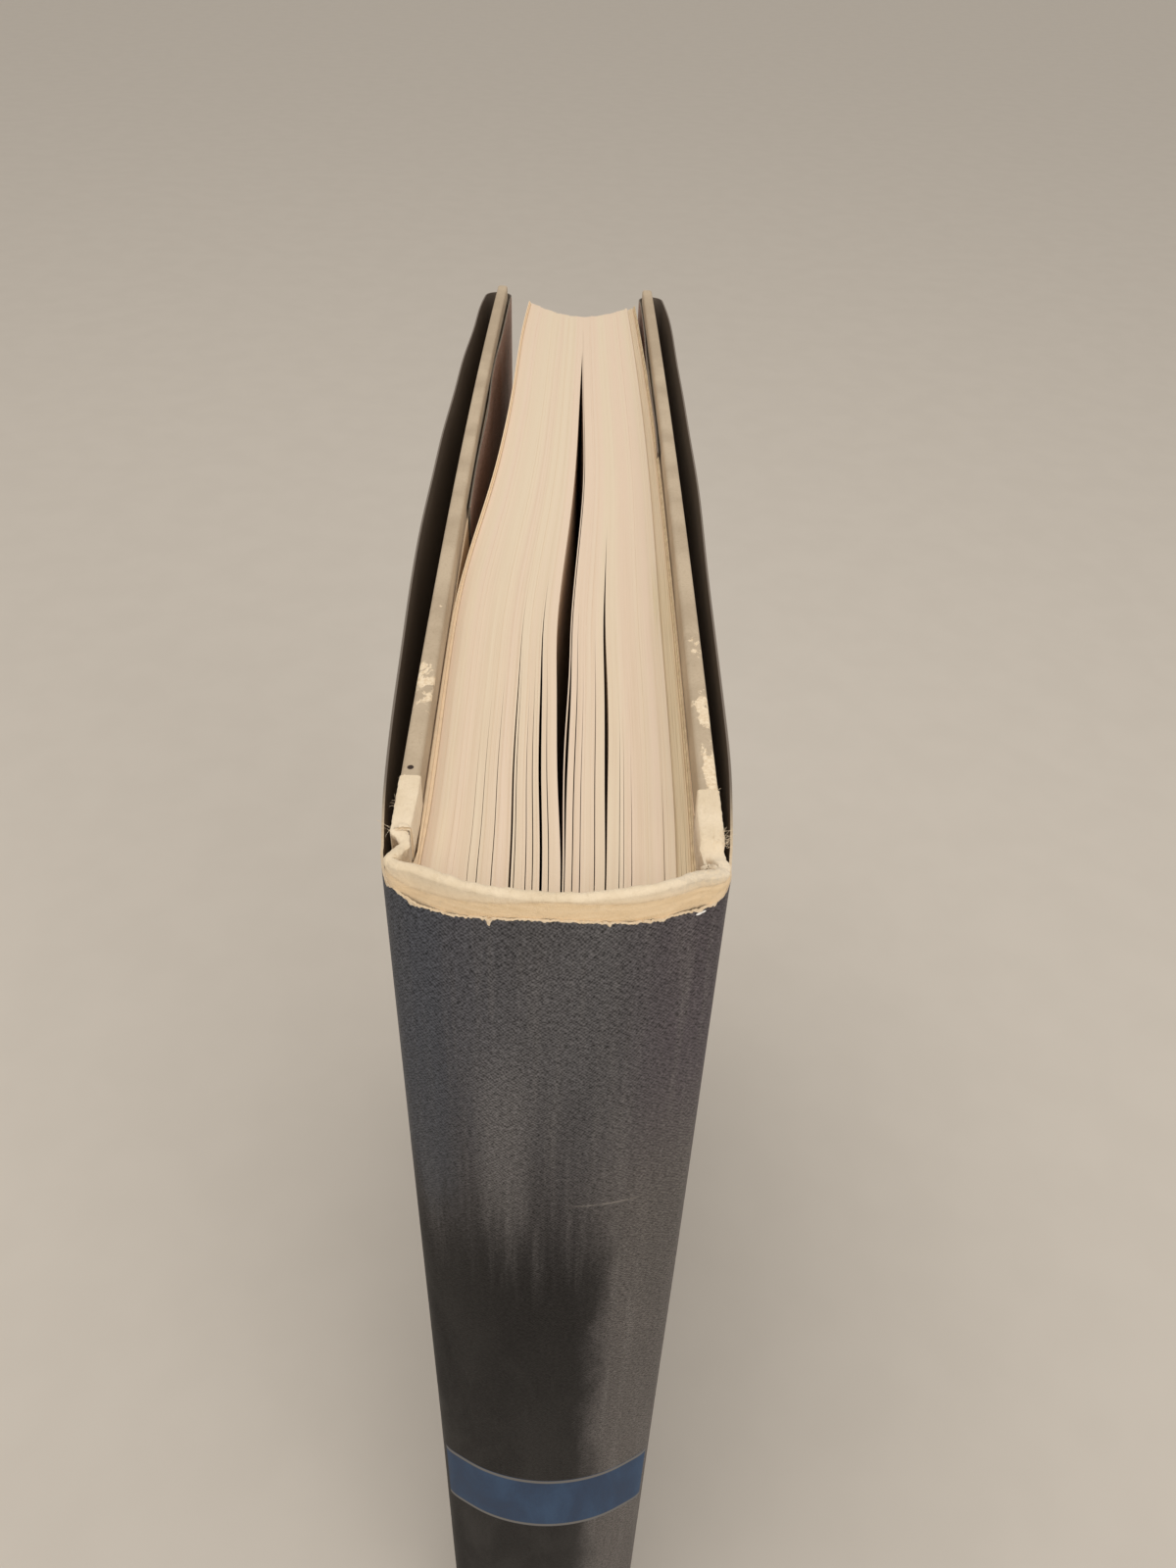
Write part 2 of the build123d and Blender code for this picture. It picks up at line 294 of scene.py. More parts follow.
class Surface:
    """The outer face of a sheet, row by row, with the values that its material reads by point."""

    def __init__(self):
        self.points, self.flow, self.values = [], [], {}

    def row(self, plan, z, run, depth, **values):
        self.points.append(np.column_stack([plan, z]))
        self.flow.append(np.column_stack([run, z, np.full_like(run, depth)]) * MM)
        for key, items in values.items():
            self.values.setdefault(key, []).append(items)

    def mesh(self, name, faces):
        return mesh_object(name, np.vstack(self.points), faces, np.vstack(self.flow), **self.values)


def thicken(obj, thickness, material_offset=0, rim_offset=0):
    """Give a surface its real thickness, inwards from its outer face."""
    solid = obj.modifiers.new("thickness", "SOLIDIFY")
    solid.thickness = thickness * MM
    solid.offset = -1.0
    solid.use_rim = True
    solid.material_offset = material_offset
    solid.material_offset_rim = rim_offset
    bpy.context.view_layer.update()
    depsgraph = bpy.context.evaluated_depsgraph_get()
    mesh = bpy.data.meshes.new_from_object(obj.evaluated_get(depsgraph), preserve_all_data_layers=True,
                                           depsgraph=depsgraph)
    old = obj.data
    obj.modifiers.clear()
    obj.data = mesh
    mesh.name = old.name
    bpy.data.meshes.remove(old)
    mesh.shade_smooth()
    mesh.set_sharp_from_angle(angle=radians(SHARP))


def dress(obj, *materials):
    obj.data.materials.clear()
    for material in materials:
        obj.data.materials.append(material)


# Material helpers


def as_seen(colour):
    """A colour written as it looks, in 0 to 255, as the shader's own values."""
    return (*((c / 255 / 12.92) if c < 11 else ((c / 255 + 0.055) / 1.055) ** 2.4 for c in colour), 1.0)


class Shade:
    """Short calls for building a material's nodes. Its colour is laid on step by step."""

    def __init__(self, name, roughness, specular, sheen=0.0):
        self.material = bpy.data.materials.new(name)
        self.material.use_nodes = True
        self.shader = self.material.node_tree.nodes["Principled BSDF"]
        self.fill(self.shader, {"Roughness": roughness, "Specular IOR Level": specular,
                                "Sheen Weight": sheen})

    def fill(self, node, inputs):
        """Link or set a node's inputs."""
        for key, value in inputs.items():
            if isinstance(value, bpy.types.NodeSocket):
                self.material.node_tree.links.new(value, node.inputs[key])
            elif value is not None:
                node.inputs[key].default_value = value

    def add(self, kind, output, inputs=(), **settings):
        """Add a node, and give the output of it that is asked for."""
        node = self.material.node_tree.nodes.new("ShaderNode" + kind)
        for key, value in settings.items():
            setattr(node, key, value)
        self.fill(node, dict(inputs))
        return node.outputs[output]

    def attribute(self, name, output="Fac"):
        return self.add("Attribute", output, attribute_name=name)

    def flow(self):
        return self.attribute("flow", "Vector")

    def place(self):
        return self.add("TexCoord", "Object")

    def scaled(self, vector, scale, turn=(0, 0, 0)):
        return self.add("Mapping", "Vector", {"Vector": vector, "Scale": scale, "Rotation": turn})

    def part(self, vector, axis):
        return self.add("SeparateXYZ", axis, {0: vector})

    def noise(self, vector, scale, detail=3.0, rough=0.55, distortion=0.0):
        return self.add("TexNoise", "Fac", {"Vector": vector, "Scale": scale, "Detail": detail,
                                            "Roughness": rough, "Distortion": distortion})

    def wave(self, vector, scale, distortion=0.0, detail=1.0):
        return self.add("TexWave", "Fac", {"Vector": vector, "Scale": scale, "Distortion": distortion,
                                           "Detail": detail})

    def math(self, kind, *values):
        return self.add("Math", 0, enumerate(values), operation=kind)

    absolute = partialmethod(math, "ABSOLUTE")
    plus = partialmethod(math, "ADD")
    minus = partialmethod(math, "SUBTRACT")
    over = partialmethod(math, "DIVIDE")
    times_plus = partialmethod(math, "MULTIPLY_ADD")

    def times(self, product, *factors):
        for factor in factors:
            product = self.math("MULTIPLY", product, factor)
        return product

    def remap(self, value, low, high, to_low=0.0, to_high=1.0, kind="SMOOTHSTEP"):
        return self.add("MapRange", "Result", {"Value": value, "From Min": low, "From Max": high,
                                               "To Min": to_low, "To Max": to_high},
                        interpolation_type=kind)

    def spot(self, *axes):
        """How far from a spot a point lies. Each axis: its value, and the spot's middle and half width."""
        total = 0.0
        for value, middle, half in axes:
            away = self.over(self.minus(value, middle * MM), half * MM)
            total = self.times_plus(away, away, total)
        return total

    def mix(self, factor, a, b):
        """Blend two colours, each a socket or three numbers in 0 to 255."""
        a, b = (as_seen(item) if isinstance(item, tuple) else item for item in (a, b))
        return self.add("Mix", 2, {"Factor": factor, 6: a, 7: b}, data_type="RGBA")

    def lay(self, factor, colour):
        """Lay a colour over the surface, as far as the factor says."""
        self.colour = self.mix(factor, self.colour, colour)

    def gain(self, factor):
        self.colour = self.add("VectorMath", 0, {0: self.colour, "Scale": factor}, operation="SCALE")

    def bump(self, height, strength, distance):
        return self.add("Bump", "Normal", {"Strength": strength, "Distance": distance * MM,
                                           "Height": height})

    def finish(self, normal=None, roughness=None):
        self.fill(self.shader, {"Base Color": self.colour, "Normal": normal, "Roughness": roughness})
        return self.material


# Materials


def paper_core():
    """The jacket's bare paper, which shows along its cut edges."""
    m = Shade("jacket_paper", roughness=0.75, specular=0.2)
    flow = m.flow()
    fibres = m.noise(flow, 2600, 3)
    m.colour = m.mix(m.remap(m.noise(flow, 60, 2), 0.35, 0.65), (214, 196, 168), (226, 209, 183))
    m.lay(m.remap(fibres, 0.3, 0.75, 0, 0.35), (188, 166, 136))
    m.lay(m.remap(m.absolute(m.part(flow, 0)), 0.021, 0.034), (122, 112, 102))
    return m.finish(m.bump(fibres, 0.3, 0.05))


def jacket_print():
    """Dark grey print with a canvas grain, smoky streaks, a blue band and a worn tail edge, with painted
    light, shade and reflection across the spine.
    """
    m = Shade("jacket_print", roughness=0.55, specular=0.06)
    flow = m.flow()
    across, height = m.part(flow, 0), m.part(flow, 1)
    off_middle = m.absolute(across)
    flat = m.scaled(flow, (1, 1, 0))
    smoke = m.noise(m.scaled(flow, (1, 0.35, 0)), 110, 6, 0.66, 0.5)
    streaks = m.noise(m.scaled(flow, (1, 0.05, 0)), 420, 4, 0.65, 0.3)
    weave = m.plus(m.wave(m.scaled(flow, (1, 1, 0), (0, 0, 0.72)), 900, 9.0, 3.0),
                   m.wave(m.scaled(flow, (1, 1, 0), (0, 0, -0.8)), 820, 9.0, 3.0))
    weave = m.times_plus(weave, 0.13, m.times(m.noise(flat, 1900, 4, 0.75), 0.85))
    # Painted light and shade in the tint: darker at the left than in the middle, and in the lower part dark
    # at the left and lighter towards the right
    tint = m.mix(m.remap(across, -0.014, 0.0), (75, 75, 80), (85, 83, 84))
    tint = m.mix(m.remap(across, 0.004, 0.014), tint, (83, 77, 80))
    lower = m.mix(m.remap(across, 0.002, 0.012), (68, 65, 65), (95, 90, 87))
    tint = m.mix(m.remap(height, 0.238, 0.205), tint, lower)
    panel = m.remap(off_middle, 0.017, 0.04)
    tint = m.mix(panel, tint, (78, 75, 77))
    m.colour = m.mix(m.remap(smoke, 0.3, 0.7), m.mix(0.25, tint, (40, 38, 38)), tint)
    m.lay(m.times(m.remap(streaks, 0.45, 0.75), m.remap(panel, 0.0, 1.0, 0.35, 0.12)), (110, 106, 103))
    # Broad fields, mostly painted reflection and shade and partly the print's own tone: blue-grey at the
    # upper left, a pale streak beside it, and a dark lower field that ends towards the right in a warmer
    # grey
    spine_only = m.remap(off_middle, 0.034, 0.0165)
    broken = m.times_plus(m.minus(streaks, 0.5), 0.032, height)
    smoky = m.times_plus(m.minus(smoke, 0.5), 0.012, across)
    m.lay(m.times(m.remap(across, -0.0095, -0.0135), spine_only, m.remap(broken, 0.2, 0.215), 0.55),
          (70, 73, 79))
    m.lay(m.times(m.remap(m.absolute(m.plus(across, 0.0054)), 0.0046, 0.001),
                  m.remap(broken, 0.192, 0.21), m.remap(broken, 0.245, 0.225), 0.32), (122, 118, 116))
    m.lay(m.times(m.remap(broken, 0.217, 0.187), m.remap(smoky, 0.009, 0.004), spine_only, 0.95),
          (31, 29, 28))
    # The flaps are laid over in brown
    m.lay(m.remap(off_middle, 0.2, 0.2015), (146, 117, 103))
    m.gain(m.remap(weave, 0.34, 0.78, 0.25, 1.95, "LINEAR"))
    # Blue band across the spine, with a thin pale line along each of its edges
    band = m.times(m.remap(height, BAND_LOW * MM, (BAND_LOW + 0.15) * MM),
                   m.remap(height, (BAND_HIGH + 0.15) * MM, BAND_HIGH * MM),
                   m.remap(off_middle, 0.0174, 0.0171))
    blue = m.mix(m.remap(smoke, 0.35, 0.7), (42, 60, 86), (62, 84, 112))
    blue = m.mix(m.remap(weave, 0.4, 0.9, 0.0, 0.25), blue, (34, 48, 66))
    centre = m.absolute(m.minus(height, (BAND_LOW + BAND_HIGH) / 2 * MM))
    half = (BAND_HIGH - BAND_LOW) / 2
    line = m.times(m.remap(centre, (half - 1.1) * MM, (half - 0.85) * MM),
                   m.remap(centre, half * MM, (half - 0.2) * MM), 0.75)
    m.lay(band, m.mix(line, blue, (126, 120, 110)))
    # A pale crease under the middle of the upper field
    slant = m.times_plus(across, 0.06, m.minus(height, (TAIL - 49.3) * MM))
    m.lay(m.times(m.remap(m.absolute(slant), 0.00028, 0.00006), m.remap(across, 0.0022, 0.0035),
                  m.remap(across, 0.0115, 0.009), m.remap(m.noise(flat, 800, 2), 0.35, 0.6, 0.4, 1.0),
                  0.45), (160, 152, 143))
    # Where the print has rubbed off along the tail edge
    flecks = m.noise(flat, 3200, 3, 0.7)
    bare = m.remap(m.plus(m.attribute("torn"), m.times(m.minus(flecks, 0.5), 0.6)), 0.42, 0.6)
    m.lay(bare, m.mix(m.remap(flecks, 0.35, 0.7), (232, 214, 188), (208, 184, 150)))
    # Two white flakes just under the edge, by the right corner
    for place, drop, wide, tall in ((14.12, 4.35, 0.36, 0.17), (14.6, 4.3, 0.26, 0.15)):
        away = m.spot((across, place, wide), (height, TAIL - drop, tall))
        m.lay(m.remap(m.plus(away, flecks), 1.7, 1.3), (240, 238, 234))
    rough = m.times_plus(bare, 0.3, m.remap(smoke, 0.3, 0.7, 0.42, 0.56))
    return m.finish(m.bump(weave, 0.12, 0.06), rough)


def cloth_material():
    """Cream book cloth, its fibres rubbed up along the rims and smoother below them."""
    m = Shade("book_cloth", roughness=0.92, specular=0.1, sheen=0.2)
    flow, place = m.flow(), m.place()
    across = m.part(flow, 0)
    fibres = m.noise(place, 1500, 6, 0.75, 0.8)
    lint = m.noise(m.scaled(place, (1, 0.35, 1), (0.3, 0.2, 0.9)), 3200, 4, 0.7, 1.5)
    streak = m.noise(m.scaled(flow, (0.1, 1, 0)), 2100, 3, 0.6)
    below = m.attribute("below")
    above = m.minus(1.0, below)
    m.colour = m.mix(m.remap(m.noise(place, 190, 3, 0.6), 0.35, 0.65), (226, 207, 177), (235, 217, 189))
    m.lay(m.times(below, 0.9), m.mix(m.remap(streak, 0.35, 0.7), (242, 214, 174), (231, 201, 158)))
    # The worn corner on the right is greyer
    m.lay(m.times(m.remap(across, 0.0085, 0.0135), m.remap(across, 0.0205, 0.018),
                  m.remap(fibres, 0.35, 0.6), above, 0.35), (188, 182, 172))
    # Painted shade in brown, in the hollows, gaps and creases of the rims and joints
    m.lay(m.times(m.attribute("soiled"), m.remap(fibres, 0.25, 0.6, 0.4, 1.0)), (150, 122, 90))
    m.lay(m.remap(fibres, 0.48, 0.75, 0, 0.3), (188, 164, 128))
    m.lay(m.remap(lint, 0.55, 0.75, 0, 0.35), (246, 236, 216))
    # Painted light: the roll's lower face, where the rim turns into the flat cloth, is made a little
    # lighter
    m.gain(m.times_plus(m.times(below, above), 0.3, 1.0))
    rough = m.times_plus(streak, m.times(below, 0.4), m.plus(fibres, lint))
    return m.finish(m.bump(rough, 0.6, 0.12))


def side_paper_material():
    """Grey-tan cover paper, rubbed down to its cream core along the edges."""
    m = Shade("side_paper", roughness=0.8, specular=0.2)
    flow = m.flow()
    patches = m.noise(m.scaled(flow, (1, 1, 1.6)), 420, 5, 0.72, 0.4)
    fine = m.noise(flow, 2400, 4, 0.7)
    m.colour = m.mix(m.remap(m.noise(flow, 90, 3), 0.35, 0.65), (178, 160, 136), (196, 178, 153))
    m.lay(m.remap(fine, 0.45, 0.75, 0, 0.35), (152, 134, 110))
    rubbed = m.remap(m.plus(m.attribute("worn"), m.times(m.minus(patches, 0.5), 2.6)), 0.7, 0.9)
    m.lay(rubbed, m.mix(m.remap(fine, 0.35, 0.7), (240, 222, 194), (216, 192, 158)))
    # A small hole in the front board's tail edge, by the end of the cloth, painted as a dark spot of shade
    # over a dent in the bump
    away = m.spot((m.part(flow, 0), CLOTH_ON_BOARD["front"] + 1.3, 0.38), (m.part(flow, 2), 0.92, 0.36))
    hole = m.times(m.remap(away, 1.15, 0.6), m.attribute("front_tail"))
    m.lay(hole, (58, 46, 40))
    relief = m.minus(m.times(m.minus(fine, rubbed), 0.5), m.times(hole, 3.0))
    return m.finish(m.bump(relief, 0.4, 0.1))


def leaf_material():
    """Edges of cream leaves: each has a faint line of its own, and the last ones are darker with painted
    shade.
    """
    m = Shade("leaves", roughness=0.85, specular=0.15)
    flow = m.flow()
    line = m.scaled(flow, (1, 0.006, 0))
    fine = m.noise(line, 9000, 2, 0.6)
    near = m.remap(m.part(flow, 1), 0.09, 0.02, 0.25, 1.0)
    m.colour = m.mix(m.remap(m.noise(line, 330, 2, 0.5), 0.4, 0.6), (227, 206, 184), (226, 209, 184))
    m.lay(m.times(m.remap(m.noise(line, 1100, 3, 0.6), 0.35, 0.68, 0, 0.6), near), (217, 195, 169))
    m.lay(m.times(m.remap(fine, 0.45, 0.8, 0, 0.25), near), (196, 170, 138))
    # Painted shade on the last, lower-lying leaves, in khaki
    m.lay(m.attribute("tone"), m.mix(m.remap(fine, 0.35, 0.7), (222, 205, 174), (202, 184, 152)))
    return m.finish(m.bump(m.times(fine, near), 0.3, 0.05))


def plain_paper(name, light, dark, scale=900, toned=False):
    """A plain sheet, with a faint cloud and fibres, and where asked its edge darkened with painted shade.
    """
    m = Shade(name, roughness=0.8, specular=0.18)
    place = m.place()
    fibres = m.noise(place, scale, 4, 0.65)
    m.colour = m.mix(m.remap(m.noise(place, 28, 2, 0.4), 0.2, 0.8), light, dark)
    m.lay(m.remap(fibres, 0.45, 0.8, 0, 0.3), tuple(int(c * 0.82) for c in dark))
    if toned:
        # Painted shade along the top edge, in khaki
        m.lay(m.attribute("toned"), m.mix(m.remap(fibres, 0.3, 0.7), (216, 196, 162), (192, 170, 136)))
    return m.finish(m.bump(fibres, 0.25, 0.05))


def gauze_material():
    """Open cotton gauze, stiff with glue."""
    m = Shade("gauze", roughness=0.9, specular=0.15)
    place = m.place()
    threads = m.math("MAXIMUM", m.wave(m.scaled(place, (0, 0, 1)), 320),
                     m.wave(m.scaled(place, (0.4, 1, 0)), 320))
    m.colour = m.mix(m.remap(threads, 0.55, 0.9), (150, 130, 100), (222, 206, 176))
    return m.finish(m.bump(threads, 0.5, 0.1))


# Camera, at the photograph's place


def make_camera():
    """Phone camera above the spine, looking down along the book."""
    right = Vector((0.99952, 0.00324, 0.03067))
    down = Vector((0.02596, -0.62557, -0.77974))
    forward = Vector((0.01666, 0.78017, -0.62535))
    data = bpy.data.cameras.new("camera")
    data.lens = 27.07
    data.sensor_width = 36.0
    data.clip_start = 0.005
    camera = add_object("camera", data)
    turn = Matrix((right, -down, -forward)).transposed()
    camera.matrix_world = Matrix.Translation(to_frame((0.83, -81.43, TAIL + 74.82))) @ turn.to_4x4()
    bpy.context.scene.camera = camera


# Dust jacket

# The panels' outer line at the tail: distance forward of the spine's corners, and reach sideways
PANELS = {
    "front": ((2, 16.95), (6.4, 17.5), (11, 18.05), (16, 18.5), (26, 19.15), (38, 19.8), (52, 20.65),
              (69, 21.15), (88, 21.4), (104, 21.45), (125, 21.35), (145, 21.05), (160, 20.8),
              (174, 20.4), (182.7, 19.6)),
    "back": ((2, 16.85), (7.8, 17.45), (12.4, 17.8), (17, 18.1), (28, 18.5), (40, 18.8), (55, 19.05),
             (72, 19.35), (91, 19.55), (110, 19.7), (129, 19.75), (145, 19.6), (161, 19.3),
             (174, 18.9), (182.7, 18.4)),
}
# How far the torn tail edge lies below the boards' tail, by distance round from the spine's middle
EDGE_DROP = {
    "front": ((0, 2.6), (2.4, 2.65), (4.5, 2.9), (6.7, 3.2), (9, 3.7), (11.1, 3.95), (13.7, 3.85),
              (15.6, 3.2), (17.5, 2.9), (21, 2.6), (40, 2.5)),
    "back": ((0, 2.6), (2, 2.75), (4.2, 3), (7, 3.5), (10.3, 3.85), (12.9, 3.7), (15.6, 3.75),
             (17, 3.3), (19, 2.8), (22, 2.6), (40, 2.5)),
}
# How far round from the spine's middle the tail edge is worn
RAGGED_RUN = 24
# Small tears: place, half width, depth
TORN_SPOTS = {
    "front": ((6.3, 0.24, 0.66), (14.3, 0.45, 0.45), (17.6, 0.7, 0.45), (19.3, 0.5, 0.3)),
    "back": ((5.05, 0.2, 0.35), (10.3, 0.45, 0.22), (14.2, 0.4, 0.4), (15.9, 0.25, 0.45)),
}


def jacket_line(side):
    """Outer plan line of half the jacket: spine, corner, panel, fold and flap."""
    sign = SIDES[side]["sign"]
    spine = [(sign * x, spine_y(x, JACKET_OUT)) for x in np.linspace(0, SPINE_HALF - 0.2, 60)]
    panel_y = np.linspace(PANELS[side][0][0], PANELS[side][-1][0], 160)
    panel = np.column_stack([sign * natural_spline(PANELS[side])(panel_y), panel_y])
    flap = [face_point(side, BOARD_WIDTH - share * FLAP_WIDTH[side], FLAP_DEPTH) for share in (0, 0.5, 1)]
    fold_tip = ((panel[-1][0] + flap[0][0]) / 2, panel[-1][1] + 2.1)
    line = chain(spine, [spine[-1], (sign * 16.4, 0.2), panel[0]], panel,
                 arc_points(panel[-1], fold_tip, flap[0], 24), arc_points(*flap, 60))
    return soften(line, 3.0), lengths(np.array(spine))[-1]


def print_edge(side, u):
    """How far above the jacket's tail edge the print has rubbed off, by distance round the spine."""
    reach = 0.08 + wavy(u, ((5.0, 0.04), (1.3, 0.05), (0.5, 0.05)), 11 if side == "front" else 23)
    for place, width, depth in TORN_SPOTS[side]:
        reach += depth * np.exp(-(np.abs(u - place) / width) ** 1.7)
    return np.maximum(reach, 0.02)


def make_jacket(side):
    """Half the jacket, from the middle of its spine to the end of its flap."""
    sign = SIDES[side]["sign"]
    line, spine_run = jacket_line(side)
    run = lengths(line)[-1]
    # Close steps where the tail edge is worn, and round the fold at the fore-edge
    at = np.unique(np.r_[
        np.arange(0, RAGGED_RUN, 0.16), np.arange(RAGGED_RUN, 60, 0.8), np.arange(60, spine_run + 165, 2.0),
        np.arange(spine_run + 165, spine_run + 196, 0.5), np.arange(spine_run + 196, run, 4.0), [run],
    ])
    at = at[at <= run]
    path = resample(line, at)
    outward = -sign * normals(path)
    ragged = ramp(at, RAGGED_RUN, -6)
    edge = TAIL - look_up(at, EDGE_DROP[side])
    edge -= 0.06 * ragged * np.abs(wavy(at, ((2.2, 1.0), (0.9, 0.9), (0.45, 0.7)), 5 + sign))
    for place, width, depth in TORN_SPOTS[side]:
        edge -= 0.4 * depth * np.exp(-(np.abs(at - place - 0.05) / (width * 0.6)) ** 1.7)
    head = 0.3 + 0.06 * ragged * np.abs(wavy(at, ((3, 1), (1.1, 0.6)), 9 + sign))
    down = np.r_[np.arange(0, 1.6, 0.13), np.geomspace(1.6, 60, 18)[1:],
                 np.linspace(60, 250, 20)[1:]]
    surface = Surface()
    worn_edge = print_edge(side, at)
    # The rows follow the torn edge down to this level, and from there turn towards the head's
    level = 200
    for drop in down:
        z = edge - drop
        if drop >= level:
            z = edge - level + (head - edge + level) * (drop - level) / (down[-1] - level)
        swell = 0.13 * wavy(at + z * 0.4, ((75, 1), (40, 0.4)), 31 + sign) * ramp(at, 6, 30)
        sag = 0.12 * ramp(z, TAIL, -60) * bell(at, 14.0, 3.0)
        lift = 0.1 * ragged * exp(-drop / 1.2) * wavy(at, ((7, 1), (2.2, 0.5)), 17 + sign)
        close = 0.24 * ramp(at, 13.5, -2.5) * exp(-drop / 5.0)
        offset = (swell - sag - close + np.maximum(lift, -0.03))[:, None] * outward
        surface.row(path + offset, z, sign * at, drop, torn=np.clip(0.5 + (worn_edge - drop) / 0.3, 0, 1))
    obj = surface.mesh(f"dust_jacket_{side}", grid_faces(len(down), len(at), flip=sign > 0))
    dress(obj, jacket_ink, jacket_reverse_shade, jacket_core)
    thicken(obj, JACKET, material_offset=1, rim_offset=2)
    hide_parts(f"{side}_jacket", "jacket_spine")
    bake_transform(obj)


# Case cloth

# The cloth's outer line at the tail past the spine, from the corner through the joint to the board
JOINTS = {
    "front": ((15.1, -1), (15.8, -0.62), (16.15, -0.2), (16.35, 0.35), (16.25, 0.85), (15.95, 1.35),
              (15.6, 1.95), (15.3, 2.5), (15.25, 2.95), (15.6, 3.4), (16.15, 3.7)),
    "back": ((15.15, -1.05), (15.95, -0.55), (16.3, -0.05), (16.42, 0.7), (16.3, 1.5), (15.98, 2.4),
             (15.98, 3.1)),
}
# Thickness of the roll by place forward, past the corner of the spine
ROLL = 1.2
WIDTHS = {
    "front": ((-1, 1.2), (0, 1.25), (0.8, 1.2), (1.6, 1.2), (2.4, 1.1), (2.9, 1.05), (3.3, 1.4),
              (3.7, 1.75), (4.2, 1.95), (7, 2.08), (9.5, COVER)),
    "back": ((-1, 1.2), (-0.5, 1.35), (-0.1, 1.75), (0.3, 2.45), (0.9, 2.6), (1.8, 2.45), (2.8, 2.4),
             (5, 2.45), (8.5, 2.5), (10.5, 2.3), (12.5, COVER)),
}
# Crease where the rolled rim ends and the flat cloth below begins, by distance from the middle
CREASE = {
    "front": ((0, 0.55), (2.5, 0.8), (6.5, 1.6), (10, 2.1), (14, 2.4), (16, 1.3), (17.5, 0.7)),
    "back": ((0, 0.55), (3, 0.8), (7.6, 1.4), (12, 1.5), (15, 1.35), (16.5, 1.1), (18, 0.7)),
}


def cloth_lines(side):
    """Outer plan lines of half the cloth, at mid height and at the rims."""
    sign = SIDES[side]["sign"]
    board = [face_point(side, a) * (sign, 1) for a in (0, 0.6, 2, 4, 6, CLOTH_ON_BOARD[side])]
    spine = [(x, spine_y(x)) for x in np.linspace(0, 13.6, 50)]
    low = chain(spine, [spine[-1], (15.2, -0.75), (15.72, 0.1), (15.4, 1.0), (15.05, 1.9),
                        (15.3, 2.9), board[0]], board)
    high = chain(spine, [spine[-1], *JOINTS[side], board[0]], board)
    return soften(low, 1.3), soften(high, 0.8)


